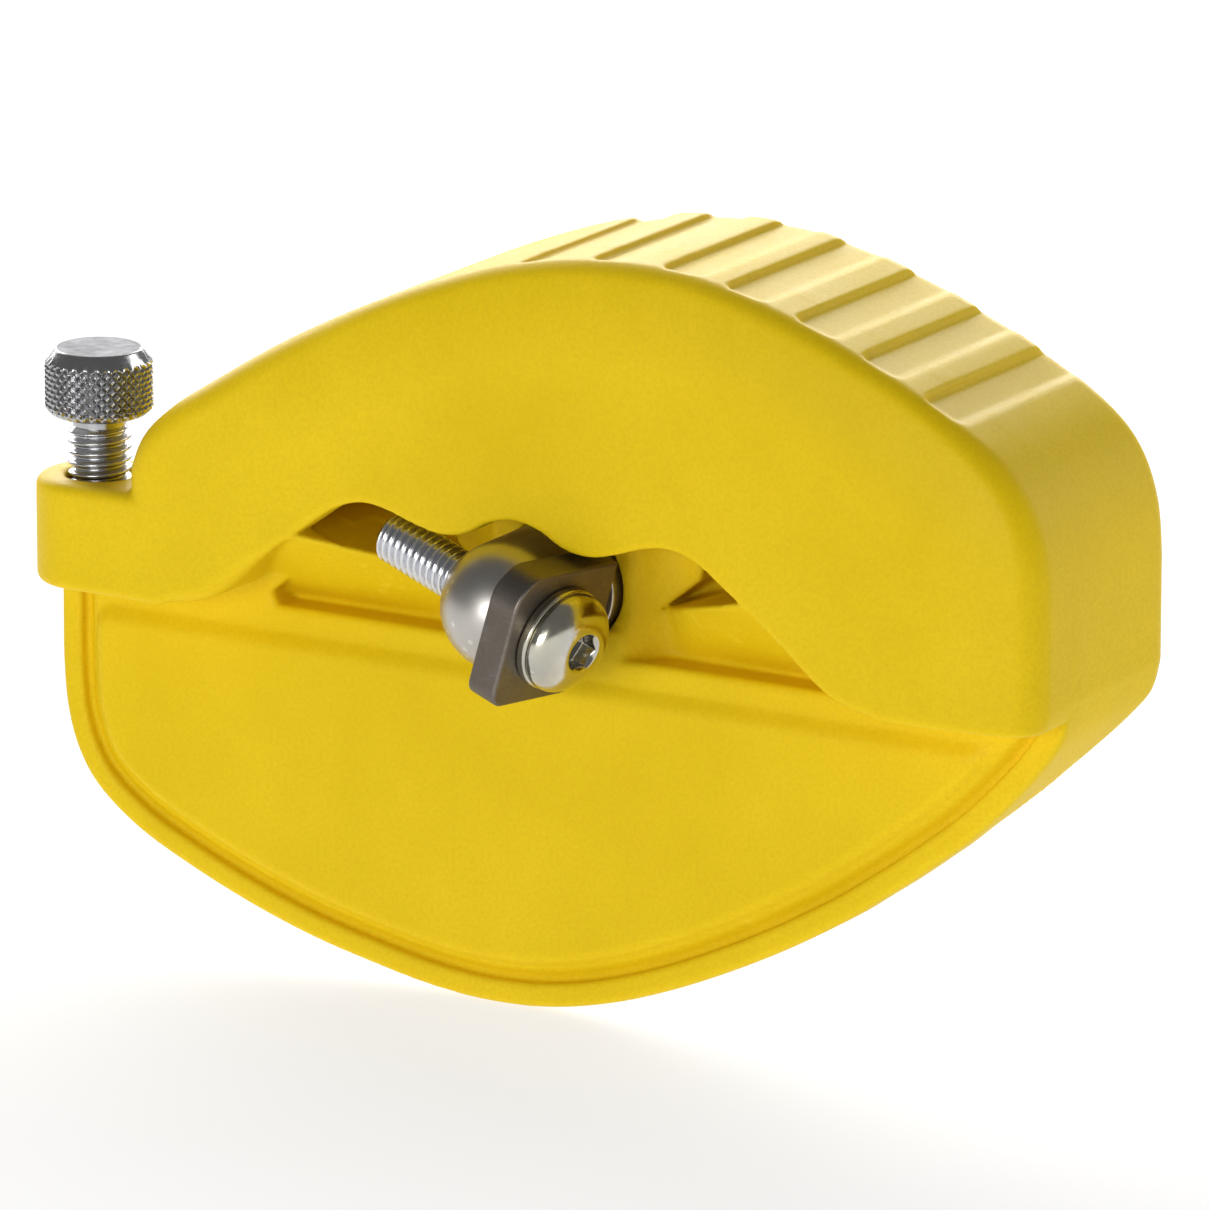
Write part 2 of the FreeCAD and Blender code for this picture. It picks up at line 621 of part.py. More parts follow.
def clamp_screw():
    """Headless screw, drawn downwards from the pad, with a socket in its lower end."""
    crest, root, length = 2.5, 2.05, 6.5
    down = V(0, 0, -1)
    profile = [(0, 0), (1.6, 0), (crest, 0.7)]
    for i in range(6):
        z = M5_PITCH * i
        profile += [(crest, 0.9 + z), (root, 1.24 + z), (root, 1.34 + z), (crest, 1.68 + z)]
    profile += [(crest, 6.2), (2.2, length), (0, length)]
    screw = turned(profile, V(0, CLAMP_Y, CLAMP_SCREW_Z), down)
    return one(screw.cut(hex_prism(2.5, V(0, CLAMP_Y, CLAMP_SCREW_Z - 3.5), down, 5)))


def clamp_insert():
    insert = zcyl(CLAMP_INSERT_R, 0, CLAMP_Y, CLAMP_BOSS_Z + 0.2, -4.65)
    insert = insert.cut(zcyl(2.56, 0, CLAMP_Y, -20, 5))
    return one(insert.cut(ring_groove(0, CLAMP_Y, -8.0, CLAMP_INSERT_R - 0.3)))


os.makedirs("parts", exist_ok=True)
for build in (front_housing, rear_cover, cover_screws, clamp_sleeve, carrier_pin, blade,
              blade_washer, blade_screw, depth_screw, depth_screw_insert, depth_foot,
              clamp_pad, clamp_screw, clamp_insert):
    save(build.__name__, build())
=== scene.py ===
# A hand-held edge tool: a yellow housing with a guide plate below and a window in its front wall,
# a ball-ended carrier pin holding a square blade, and a knurled depth screw in an ear at the left.
# X runs left to right, the front faces -Y and Z is up. Sizes are in mm, in working axes whose Z = 0
# is the edge guide plane; mesh_object lifts them by DROP and turns them into metres.
import functools
import itertools
import math
import bpy
import numpy as np
from mathutils import Matrix, Vector


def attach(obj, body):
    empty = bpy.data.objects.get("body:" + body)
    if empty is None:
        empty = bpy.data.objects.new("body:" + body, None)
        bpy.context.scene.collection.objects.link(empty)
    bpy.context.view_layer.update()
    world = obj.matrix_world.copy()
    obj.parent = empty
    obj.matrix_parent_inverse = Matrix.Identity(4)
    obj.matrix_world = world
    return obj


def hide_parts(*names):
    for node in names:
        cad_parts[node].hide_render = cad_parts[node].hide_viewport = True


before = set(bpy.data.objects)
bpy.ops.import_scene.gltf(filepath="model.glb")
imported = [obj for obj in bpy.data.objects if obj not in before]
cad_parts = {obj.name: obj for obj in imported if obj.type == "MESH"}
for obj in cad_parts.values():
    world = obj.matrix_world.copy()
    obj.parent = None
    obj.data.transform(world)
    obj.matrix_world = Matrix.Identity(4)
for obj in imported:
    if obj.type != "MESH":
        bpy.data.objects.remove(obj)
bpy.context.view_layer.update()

MM = 0.001
DROP = 16.0        # the frame's origin lies this far below the edge guide plane
SHARP = 1e-4       # a blend radius small enough to leave a sharp edge

# ============================================================ outlines, seen from the front
# (x, z) over the top of the body, left to right
TOP = [(-41.8, 8.0), (-41.7, 10.6), (-41.6, 12.6), (-40.2, 15.7), (-37.3, 18.5), (-33.8, 20.9),
       (-27.3, 25.0), (-20.8, 28.5), (-14.4, 31.5), (-8.1, 34.0), (-2.5, 35.8), (3.8, 37.1),
       (10.1, 37.6), (16.3, 37.3), (22.6, 36.0), (28.7, 34.1), (34.9, 31.6), (41.0, 28.7),
       (47.2, 24.9), (50.5, 21.4), (52.3, 16.8), (52.8, 11.5)]
# (x, z) round the bottom of the guide plate, right to left
RIM = [(52.8, 2.0), (51.9, -1.4), (49.8, -4.6), (46.4, -8.5), (42.6, -12.2), (39.5, -14.7),
       (36.5, -17.0), (33.4, -19.2), (30.4, -21.3), (24.2, -25.0), (18.0, -28.2), (11.7, -31.0),
       (5.4, -33.2), (-1.0, -34.6), (-7.4, -35.0), (-13.8, -34.5), (-20.3, -33.3), (-26.8, -31.8),
       (-33.4, -29.7), (-39.9, -27.1), (-45.6, -24.3), (-49.9, -21.0), (-52.2, -17.6),
       (-53.4, -13.6), (-53.8, -9.0), (-53.8, -4.0)]
# (x, z) along the right half of the window's upper edge
WINDOW = [(0.0, 13.1), (2.6, 12.55), (4.6, 11.45), (6.3, 10.9), (8.3, 10.85), (10.6, 11.4),
          (13.6, 12.35), (16.25, 12.6), (19.0, 11.7), (21.9, 9.7), (26.6, 6.2), (30.6, 2.6),
          (33.4, 0.9), (36.6, 0.0)]
# (x, z) of the right-hand recess beside the hub, and of the deeper pocket in it
RECESS = [(30.0, -0.6), (30.6, 0.6), (26.7, 3.9), (21.6, 8.1), (18.2, 10.9), (14.6, 11.9),
          (8.3, 11.2), (6.2, 11.0), (6.2, -0.6)]
POCKET = [(8.9, 3.7), (9.3, 3.8), (23.3, 8.7), (26.4, 9.8), (26.4, 14.0), (14.4, 14.0),
          (12.8, 6.8)]
BOSSES = [(-33.2, 8.6), (-12.5, 27.2), (44.6, 8.6), (31.5, 27.6)]   # (x, z) of cover screws
GROOVE_X = (-1.5, 6.1, 13.4, 20.1, 27.2, 33.8, 40.3)
LEFT, RIGHT = RIM[-1][0], RIM[0][0]
BODY_LEFT = TOP[0][0]

# ============================================================ shared places
BACK_Y = 19.5                # back face of the housing and the cover
PLATE_Y = 0.8                # front face of the guide plate
CLAMP_Y = 8.2                # axis of the upright insert bore under the hub
PIN_Z, PIN_R, BALL_Y, PIN_END = 5.5, 6.0, -7.8, 14.3
SCREW_BORE_R = 2.5           # hole for the blade screw through the ball
EAR_X, EAR_Y, EAR_R, EAR_TOP = -47.9, -1.1, 5.9, 10.0
COVER_INSET = 3.55           # cover outline, inside the top outline
COVER_HUB_R = 9.0
SCREW_AIM = (0.942, -0.195, -0.272)   # blade screw, from its tip to its head

# stack along the blade screw, measured from the ball's centre
FLAT_AT, GAP, BLADE_T, WASHER_T = 2.8, 0.01, 3.2, 1.0
HEAD_AT = FLAT_AT + GAP + BLADE_T + GAP + WASHER_T + GAP
HOLE_R = 2.65                # through the blade and the washer


# ============================================================ outlines and distance fields
def catmull(points, n):
    """A smooth row through the points, n steps to a span."""
    p = np.array(points, float)
    a = np.vstack([2 * p[0] - p[1], p, 2 * p[-1] - p[-2]])
    out = []
    for i in range(1, len(a) - 2):
        p0, p1, p2, p3 = a[i - 1:i + 3]
        for t in np.arange(n) / n:
            out.append(0.5 * (2 * p1 + (p2 - p0) * t + (2 * p0 - 5 * p1 + 4 * p2 - p3) * t ** 2
                              + (3 * p1 - p0 - 3 * p2 + p3) * t ** 3))
    out.append(a[-2])
    return np.array(out)


def mirrored(points):
    return [(-x, z) for x, z in points]


def polygon(points, x, z):
    """Signed distance to a closed polygon, negative inside."""
    points = np.asarray(points, float)
    points = points[np.hypot(*(points - np.roll(points, 1, 0)).T) > 1e-6]
    shape = np.broadcast(x, z).shape
    squared = np.full(shape, 1e12)
    inside = np.zeros(shape, bool)
    for (ax, az), (bx, bz) in zip(points, np.roll(points, -1, 0)):
        ex, ez = bx - ax, bz - az
        wx, wz = x - ax, z - az
        t = np.clip((wx * ex + wz * ez) / (ex * ex + ez * ez), 0, 1)
        np.minimum(squared, (wx - ex * t) ** 2 + (wz - ez * t) ** 2, out=squared)
        if az != bz:
            level = (z >= min(az, bz)) & (z < max(az, bz))
            inside ^= level & (x < ax + (z - az) * ex / ez)
    d = np.sqrt(squared)
    return np.where(inside, -d, d)


def both(*fields):
    """Sharp intersection."""
    return functools.reduce(np.maximum, fields)


def either(*fields):
    """Sharp union."""
    return functools.reduce(np.minimum, fields)


def meet(a, b, r):
    """Intersection with a rounded outer edge of radius r."""
    u = np.maximum(a + r, 0)
    v = np.maximum(b + r, 0)
    return np.minimum(np.maximum(a, b), -r) + np.sqrt(u * u + v * v)


def merge(a, b, r):
    """Union with a rounded inner corner of radius r."""
    u = np.maximum(r - a, 0)
    v = np.maximum(r - b, 0)
    return np.maximum(np.minimum(a, b), r) - np.sqrt(u * u + v * v)


def cut(a, b, r=None):
    """b taken out of a, with an edge radius if one is given."""
    return both(a, -b) if r is None else meet(a, -b, r)


def ramp(x, start, end):
    """A smooth step from 0 at start to 1 at end."""
    t = np.clip((x - start) / (end - start), 0, 1)
    return t * t * (3 - 2 * t)


def hexagon(x, y, across):
    x, y = np.abs(x), np.abs(y)
    return both(x * 0.8660254 + y * 0.5, y) - across / 2


def about_ball(x, y, z, axis):
    """Distance along an axis through the ball's centre, and distance from that axis."""
    y = y - BALL_Y
    z = z - PIN_Z
    along = x * axis[0] + y * axis[1] + z * axis[2]
    return along, np.sqrt(np.maximum(x ** 2 + y ** 2 + z ** 2 - along ** 2, 0))


def cover_outline(x, z, gap=0):
    """The rear cover's outline with its hub disc, grown by gap."""
    row = catmull(TOP[1:], 8)
    t = np.gradient(row, axis=0)
    normal = np.stack([t[:, 1], -t[:, 0]], 1)
    normal /= np.linalg.norm(normal, axis=1)[:, None]
    row = row + COVER_INSET * normal
    row = row[row[:, 1] > 3.7]
    base_z = 3.2
    points = np.vstack([row, [(row[-1][0], base_z), (row[0][0], base_z)]])
    return either(polygon(points, x, z) - gap, np.hypot(x, z - PIN_Z) - (COVER_HUB_R + gap))


# ============================================================ grids and meshes
def axis_points(stretches):
    """Grid lines from (start, end, step) stretches."""
    out = []
    for start, end, step in stretches:
        n = max(1, int(round((end - start) / step)))
        out += list(start + (end - start) * np.arange(n) / n)
    out.append(stretches[-1][1])
    return np.array(out)


def spread(axes):
    """The three axes shaped to broadcast against each other."""
    xs, ys, zs = axes
    return xs[:, None, None], ys[None, :, None], zs[None, None, :]


def grid(x_span, y_span, z_span, step):
    axes = [axis_points([(*span, step)]) for span in (x_span, y_span, z_span)]
    return axes, spread(axes)


CORNERS = list(itertools.product((0, 1), repeat=3))


def surface(field, axes):
    """Surface nets on a grid with uneven spacing. Returns vertices, quads and normals."""
    inside = field < 0
    cells = np.array(field.shape) - 1
    count = np.zeros(cells, np.uint8)
    for corner in CORNERS:
        count += inside[tuple(slice(d, n + d) for d, n in zip(corner, cells))]
    cell = np.nonzero((count > 0) & (count < 8))
    total = len(cell[0])
    number = np.full(cells, -1, np.int64)
    number[cell] = np.arange(total)
    value = {corner: field[tuple(i + d for i, d in zip(cell, corner))].astype(np.float64)
             for corner in CORNERS}

    # each cell's vertex is the mean of the crossings on its edges
    place = np.zeros((total, 3))
    crossings = np.zeros(total)
    for axis in range(3):
        for start in CORNERS:
            if start[axis]:
                continue
            end = list(start)
            end[axis] = 1
            fa, fb = value[start], value[tuple(end)]
            hit = (fa < 0) != (fb < 0)
            p = np.array(start, float)[None, :].repeat(total, 0)
            p[:, axis] = np.where(hit, fa / np.where(hit, fa - fb, 1), 0)
            place[hit] += p[hit]
            crossings[hit] += 1
    place /= crossings[:, None]
    place += np.stack(cell, 1)

    # a face across each grid edge that crosses the surface
    quads = []
    for axis in range(3):
        others = [k for k in range(3) if k != axis]
        low = [slice(1, -1)] * 3
        high = [slice(1, -1)] * 3
        low[axis] = slice(0, -1)
        high[axis] = slice(1, None)
        starts, ends = inside[tuple(low)], inside[tuple(high)]
        base = np.stack(np.nonzero(starts != ends), 1)
        leaves = starts[tuple(base.T)]
        base[:, others] += 1
        ring = []
        for offset in ((-1, -1), (0, -1), (0, 0), (-1, 0)):
            near = base.copy()
            near[:, others] += offset
            ring.append(number[tuple(near.T)])
        ring = np.stack(ring, 1)
        keep = leaves if axis != 1 else ~leaves
        ring[~keep] = ring[~keep][:, ::-1]
        quads.append(ring)
    quads = np.concatenate(quads)

    def sample(data, p):
        i = np.clip(p.astype(int), 0, np.array(data.shape) - 2)
        f = p - i
        out = 0
        for corner in CORNERS:
            wx, wy, wz = (f[:, k] if d else 1 - f[:, k] for k, d in enumerate(corner))
            out = out + wx * wy * wz * data[tuple((i + corner).T)]
        return out

    gradient = np.gradient(field, *axes)

    def to_index(v):
        return np.stack([np.interp(v[:, k], axes[k], np.arange(len(axes[k])))
                         for k in range(3)], 1)

    def slope(p):
        g = np.stack([sample(part, p) for part in gradient], 1)
        steepness = np.linalg.norm(g, axis=1)
        return g / np.maximum(steepness, 1e-9)[:, None], steepness

    v = np.stack([np.interp(place[:, k], np.arange(len(axes[k])), axes[k])
                  for k in range(3)], 1)
    for turn in range(3):
        p = to_index(v)
        normal, steepness = slope(p)
        if turn == 0:
            # slide each vertex along the surface towards its neighbours' mean
            near = np.zeros_like(v)
            links = np.zeros(len(v))
            for a in range(4):
                b = (a + 1) % 4
                np.add.at(near, quads[:, a], v[quads[:, b]])
                np.add.at(near, quads[:, b], v[quads[:, a]])
                links += (np.bincount(quads[:, a], minlength=len(v))
                          + np.bincount(quads[:, b], minlength=len(v)))
            shift = 0.5 * (near / np.maximum(links, 1)[:, None] - v)
            shift -= (shift * normal).sum(1)[:, None] * normal
            v = v + shift
            p = to_index(v)
        # pull the vertices back onto the surface
        error = sample(field, p)
        v = v - np.clip(error / np.maximum(steepness, 0.5), -0.2, 0.2)[:, None] * normal
    return v, quads, slope(to_index(v))[0]


def placement(origin, x_axis=(1, 0, 0), y_axis=(0, 1, 0), z_axis=(0, 0, 1)):
    """4x4 from a piece's own axes to the working axes."""
    m = np.eye(4)
    for k, column in enumerate((x_axis, y_axis, z_axis, origin)):
        m[:3, k] = column
    return m


WORKING = np.eye(4)


def mesh_object(name, v, faces, mat, place=WORKING, normals=None, sharp=None):
    """sharp is the angle in degrees above which edges are marked sharp."""
    v = np.asarray(v, float) @ place[:3, :3].T + place[:3, 3]
    v = (v + np.array([0, 0, DROP])) * MM
    me = bpy.data.meshes.new(name)
    if isinstance(faces, np.ndarray):
        f = faces.astype(np.int32)
        me.vertices.add(len(v))
        me.vertices.foreach_set("co", v.astype(np.float32).ravel())
        me.loops.add(f.size)
        me.loops.foreach_set("vertex_index", f.ravel())
        me.polygons.add(len(f))
        me.polygons.foreach_set("loop_start", np.arange(0, f.size, 4, dtype=np.int32))
        me.update(calc_edges=True)
    else:
        me.from_pydata(v.tolist(), [], faces)
        me.update()
    me.validate()
    me.polygons.foreach_set("use_smooth", np.ones(len(me.polygons), bool))
    if normals is not None:
        normals = normals @ place[:3, :3].T
        me.normals_split_custom_set_from_vertices([tuple(n) for n in normals])
    obj = bpy.data.objects.new(name, me)
    bpy.context.scene.collection.objects.link(obj)
    me.materials.append(mat)
    if sharp:
        me.set_sharp_from_angle(angle=math.radians(sharp))
    return obj


def solid(name, field, axes, mat, place=WORKING):
    v, quads, normals = surface(field.astype(np.float32), axes)
    return mesh_object(name, v, quads, mat, place, normals)


def lathe(profile, seg):
    """Surface of revolution about z from (radius, z) points that start and end on the axis."""
    vertices, faces, rings = [], [], []
    angles = [2 * math.pi * i / seg for i in range(seg)]
    for r, z in profile:
        ring = angles if r else angles[:1]
        rings.append(range(len(vertices), len(vertices) + len(ring)))
        vertices += [(r * math.cos(a), r * math.sin(a), z) for a in ring]
    for low, high in zip(rings, rings[1:]):
        for i in range(seg):
            j = (i + 1) % seg
            if len(low) == 1:
                faces.append((low[0], high[j], high[i]))
            elif len(high) == 1:
                faces.append((low[i], low[j], high[0]))
            else:
                faces.append((low[i], low[j], high[j], high[i]))
    return vertices, faces


def tube(radii, heights):
    """A closed tube about z: radii is rows x segments, heights has one z per row."""
    rows, seg = radii.shape
    angle = np.arange(seg) * 2 * math.pi / seg
    z, angle = np.meshgrid(heights, angle, indexing="ij")
    v = np.stack([radii * np.cos(angle), radii * np.sin(angle), z], -1).reshape(-1, 3).tolist()
    faces = []
    for i in range(rows - 1):
        for j in range(seg):
            k = (j + 1) % seg
            faces.append((i * seg + j, i * seg + k, (i + 1) * seg + k, (i + 1) * seg + j))
    start, end = len(v), len(v) + 1
    v += [(0, 0, heights[0]), (0, 0, heights[-1])]
    last = (rows - 1) * seg
    for j in range(seg):
        k = (j + 1) % seg
        faces.append((start, k, j))
        faces.append((end, last + j, last + k))
    return v, faces


def helix(crest, root, pitch, z0, z1, seg, rows_per_turn, taper0, taper1):
    """A shank with a helical thread from z0 to z1; the tapers are its run-in lengths."""
    heights = np.linspace(z0, z1, int((z1 - z0) / pitch * rows_per_turn) + 1)
    z, angle = np.meshgrid(heights, np.arange(seg) * 2 * math.pi / seg, indexing="ij")
    phase = (z / pitch - angle / (2 * math.pi)) % 1.0
    depth = np.clip((np.abs(phase - 0.5) * 2 - 0.16) / 0.68, 0, 1)   # 0 crest, 1 root
    depth = depth * depth * (3 - 2 * depth) * 0.35 + depth * 0.65
    radii = crest - (crest - root) * depth
    cap0 = root - 0.15 + (z - z0) / taper0 * (crest - root + 0.15)
    cap1 = root + (z1 - z) / taper1 * (crest - root)
    return tube(np.minimum(radii, np.minimum(cap0, np.maximum(cap1, root))), heights)


def join(objs, name):
    bpy.ops.object.select_all(action="DESELECT")
    for obj in objs:
        obj.select_set(True)
    bpy.context.view_layer.objects.active = objs[0]
    bpy.ops.object.join()
    objs[0].name = name
    objs[0].data.name = name
    return objs[0]


def register(obj, ride, replaces):
    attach(obj, ride)
    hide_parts(replaces)


# ============================================================ materials
def shader(name):
    mat = bpy.data.materials.new(name)
    mat.use_nodes = True
    tree = mat.node_tree
    tree.nodes.clear()
    out = tree.nodes.new("ShaderNodeOutputMaterial")
    bsdf = tree.nodes.new("ShaderNodeBsdfPrincipled")
    tree.links.new(bsdf.outputs[0], out.inputs[0])
    return mat, tree, bsdf


def noise(tree, vector, scale, detail, roughness):
    n = tree.nodes.new("ShaderNodeTexNoise")
    n.inputs["Scale"].default_value = scale
    n.inputs["Detail"].default_value = detail
    n.inputs["Roughness"].default_value = roughness
    tree.links.new(vector, n.inputs["Vector"])
    return n.outputs["Fac"]


def remap(tree, value, over, to):
    """Maps the range `over` of a value onto the range `to`."""
    n = tree.nodes.new("ShaderNodeMapRange")
    n.inputs["From Min"].default_value, n.inputs["From Max"].default_value = over
    n.inputs["To Min"].default_value, n.inputs["To Max"].default_value = to
    tree.links.new(value, n.inputs["Value"])
    return n.outputs[0]


def mix(tree, fac, a, b):
    """Colour mix; a and b are colours or sockets."""
    n = tree.nodes.new("ShaderNodeMix")
    n.data_type = "RGBA"
    for socket, value in ((n.inputs[0], fac), (n.inputs[6], a), (n.inputs[7], b)):
        if isinstance(value, tuple):
            socket.default_value = value
        else:
            tree.links.new(value, socket)
    return n.outputs[2]


def calc(tree, operation, a, b):
    n = tree.nodes.new("ShaderNodeMath")
    n.operation = operation
    tree.links.new(a, n.inputs[0])
    tree.links.new(b, n.inputs[1])
    return n.outputs[0]


def bump(tree, bsdf, layers):
    """Chained bumps from (height socket, strength, distance in m)."""
    last = None
    for height, strength, distance in layers:
        n = tree.nodes.new("ShaderNodeBump")
        n.inputs["Strength"].default_value = strength
        n.inputs["Distance"].default_value = distance
        tree.links.new(height, n.inputs["Height"])
        if last is not None:
            tree.links.new(last, n.inputs["Normal"])
        last = n.outputs[0]
    tree.links.new(last, bsdf.inputs["Normal"])


def plastic(name, base, rough, grain=1.0):
    """Moulded plastic; grain scales the fine bumps."""
    mat, tree, bsdf = shader(name)
    vector = tree.nodes.new("ShaderNodeTexCoord").outputs["Object"]
    fine = noise(tree, vector, scale=2600, detail=3, roughness=0.6)
    mid = noise(tree, vector, scale=900, detail=3, roughness=0.55)
    big = noise(tree, vector, scale=38, detail=4, roughness=0.6)

    def tone(red, green, blue, lift=0.0):
        """The base colour times a gain for each channel; lift is added to blue."""
        return min(base[0] * red, 1), min(base[1] * green, 1), base[2] * blue + lift, 1

    # broad mottling, then fine dark specks, then paler patches on convex edges, a painted edge
    # highlight
    col = mix(tree, remap(tree, big, over=(0.3, 0.7), to=(0, 1)),
              tone(0.93, 0.93, 0.93), tone(1.06, 1.07, 1.6, lift=0.004))
    col = mix(tree, remap(tree, fine, over=(0.38, 0.66), to=(0.0, 0.32)),
              col, tone(0.80, 0.76, 0.8))
    pointiness = tree.nodes.new("ShaderNodeNewGeometry").outputs["Pointiness"]
    # painted highlight: convex edges, found by pointiness, made paler in patches
    painted_edge_highlight = calc(tree, "MULTIPLY", remap(tree, pointiness, over=(0.515, 0.62), to=(0.0, 1.0)),
                remap(tree, mid, over=(0.35, 0.7), to=(0.15, 0.55)))
    col = mix(tree, painted_edge_highlight, col, tone(1.1, 1.14, 3, lift=0.02))
    tree.links.new(col, bsdf.inputs["Base Color"])
    roughness = calc(
        tree, "ADD", remap(tree, big, over=(0.3, 0.7), to=(rough - 0.04, rough + 0.05)),
        remap(tree, fine, over=(0.3, 0.7), to=(-0.05, 0.05)))
    tree.links.new(roughness, bsdf.inputs["Roughness"])
    bsdf.inputs["IOR"].default_value = 1.49
    bsdf.inputs["Specular IOR Level"].default_value = 0.1
    bsdf.inputs["Subsurface Weight"].default_value = 0.06
    bsdf.inputs["Subsurface Radius"].default_value = (0.0012, 0.0007, 0.0001)
    bsdf.inputs["Subsurface Scale"].default_value = 1.0
    bump(tree, bsdf, [(big, 0.08, 0.0004), (mid, 0.22 * grain, 0.00006),
                      (fine, 0.5 * grain, 0.00003)])
    return mat


def metal(name, base, rough, brushed, stretch=(1, 1, 1), tint=None, spots=0.0,
          bump_strength=0.2, hollow_shade=0.0, top_shade=0.0):
    """brushed and spots weigh darker grain and specks; the next two weights paint shade into
    hollows and onto upward faces, which also get rougher and a dimmed reflection; stretch squeezes
    the grain along each axis; tint is a patchy second colour."""
    mat, tree, bsdf = shader(name)
    vector = tree.nodes.new("ShaderNodeTexCoord").outputs["Object"]
    mapping = tree.nodes.new("ShaderNodeMapping")
    mapping.inputs["Scale"].default_value = stretch
    tree.links.new(vector, mapping.inputs["Vector"])
    grain = noise(tree, mapping.outputs[0], scale=900, detail=4, roughness=0.65)
    big = noise(tree, vector, scale=180, detail=3, roughness=0.6)

    def tone(gain):
        return tuple(c * gain for c in base) + (1,)

    col = mix(tree, remap(tree, grain, over=(0.35, 0.65), to=(0, brushed)), tone(1), tone(0.72))
    if tint is not None:
        col = mix(tree, remap(tree, big, over=(0.4, 0.62), to=(0.0, 0.7)), col, tint + (1,))
    if spots:
        fine = noise(tree, vector, scale=2400, detail=2, roughness=0.6)
        col = mix(tree, remap(tree, fine, over=(0.55, 0.75), to=(0, spots)), col, tone(0.45))
    geometry = tree.nodes.new("ShaderNodeNewGeometry")
    pointiness = geometry.outputs["Pointiness"]
    # painted highlight: convex edges, found by pointiness, made brighter
    bright = tuple(min(c * 1.35 + 0.04, 1) for c in base) + (1,)
    col = mix(tree, remap(tree, pointiness, over=(0.52, 0.6), to=(0.0, 0.6)), col, bright)
    # painted shade: hollows, found by low pointiness, darkened
    if hollow_shade:
        col = mix(tree, remap(tree, pointiness, over=(0.40, 0.49), to=(hollow_shade, 0.0)),
                  col, tone(0.12))
    if top_shade:
        # painted shade: upward faces darkened
        split = tree.nodes.new("ShaderNodeSeparateXYZ")
        tree.links.new(geometry.outputs["Normal"], split.inputs[0])
        upward = split.outputs["Z"]
        col = mix(tree, remap(tree, upward, over=(0.8, 0.97), to=(0.0, top_shade)), col, tone(0.3))
    tree.links.new(col, bsdf.inputs["Base Color"])
    bsdf.inputs["Metallic"].default_value = 1.0
    roughness = calc(
        tree, "ADD", remap(tree, grain, over=(0.3, 0.7), to=(-0.06, 0.08)),
        remap(tree, big, over=(0.3, 0.7), to=(rough - 0.04, rough + 0.05)))
    if top_shade:
        roughness = calc(tree, "ADD", roughness,
                         remap(tree, upward, over=(0.8, 0.97), to=(0.0, 0.4)))
        # painted dimming of the reflection on upward faces, by a grey specular tint
        dimmed_top_reflection = mix(tree, remap(tree, upward, over=(0.8, 0.97), to=(0.0, 1.0)),
                     (1, 1, 1, 1), (0.3, 0.3, 0.3, 1))
        tree.links.new(dimmed_top_reflection, bsdf.inputs["Specular Tint"])
    tree.links.new(roughness, bsdf.inputs["Roughness"])
    bump(tree, bsdf, [(grain, bump_strength, 0.00002), (big, 0.1, 0.00008)])
    return mat


yellow = plastic("yellow_moulding", base=(0.785, 0.545, 0.004), rough=0.46)
yellow_cover = plastic("yellow_cover", base=(0.75, 0.50, 0.006), rough=0.5)
satin = metal("satin_pin", base=(0.54, 0.515, 0.475), rough=0.33, brushed=0.5,
              stretch=(60, 1, 60), bump_strength=0.12)
ground = metal("ground_blade", base=(0.20, 0.175, 0.15), rough=0.42, brushed=0.7,
               stretch=(1, 1, 22), tint=(0.15, 0.125, 0.10), spots=0.35, bump_strength=0.35)
zinc = metal("zinc_plate", base=(0.54, 0.525, 0.475), rough=0.17, brushed=0.25,
             tint=(0.62, 0.58, 0.44), bump_strength=0.08)
zinc_bright = metal("zinc_thread", base=(0.72, 0.73, 0.76), rough=0.24, brushed=0.3,
                    bump_strength=0.1)
# turned steel, with painted shade in its hollows and on its upward faces
turned = metal("turned_steel", base=(0.47, 0.47, 0.48), rough=0.22, brushed=0.35,
               stretch=(1, 1, 40), bump_strength=0.15, hollow_shade=0.9, top_shade=0.45)
black_oxide = metal("black_oxide", base=(0.06, 0.06, 0.066), rough=0.38, brushed=0.5,
                    spots=0.3, bump_strength=0.25)
bronze = metal("sintered_bronze", base=(0.50, 0.33, 0.15), rough=0.45, brushed=0.6,
               tint=(0.36, 0.22, 0.09), spots=0.8, bump_strength=0.6)
brass = metal("turned_brass", base=(0.66, 0.48, 0.17), rough=0.26, brushed=0.35,
              stretch=(1, 1, 30), tint=(0.5, 0.34, 0.11))
nylon = plastic("natural_nylon", base=(0.66, 0.63, 0.54), rough=0.42, grain=0.5)

# ============================================================ housing
STEP = 0.33
coarser = STEP / 0.33
housing_axes = [
    axis_points([(-54.9, 54.0, STEP)]),
    axis_points([(-7.9, 2.2, 0.3 * coarser), (2.2, 5.6, 0.35 * coarser),
                 (5.6, 15.6, 0.62 * coarser), (15.6, 20.4, 0.34 * coarser)]),
    axis_points([(-36.1, 38.8, STEP)])]
X, Y, Z = spread(housing_axes)
SIDE = np.abs(X)             # distance either side of the hub

top_row = catmull(TOP + [(RIGHT, 7.0)], 8)
rim_row = catmull(RIM + [(LEFT, 1.5)], 8)


def above_rim(height):
    """Distance to the rim outline closed by a straight top at the height."""
    return polygon(np.vstack([rim_row, [(LEFT, height), (RIGHT, height)]]), X, Z)


def either_side(points):
    return either(polygon(points, X, Z), polygon(mirrored(points), X, Z))


# distances to the outlines that several features share
body = both(polygon(np.vstack([[(BODY_LEFT, -40.0)], top_row, [(RIGHT, -40.0)]]), X, Z),
            above_rim(60.0))
window_row = catmull(mirrored(WINDOW[:0:-1]) + WINDOW, 8)
window = polygon(np.vstack([window_row, [(36.6, -6.0), (-36.6, -6.0)]]), X, Z)
recess = either_side(RECESS)
hub = np.hypot(X, Z - PIN_Z)
ear_axis = np.hypot(X - EAR_X, Y - EAR_Y)
clamp_axis = np.hypot(X, Y - CLAMP_Y)


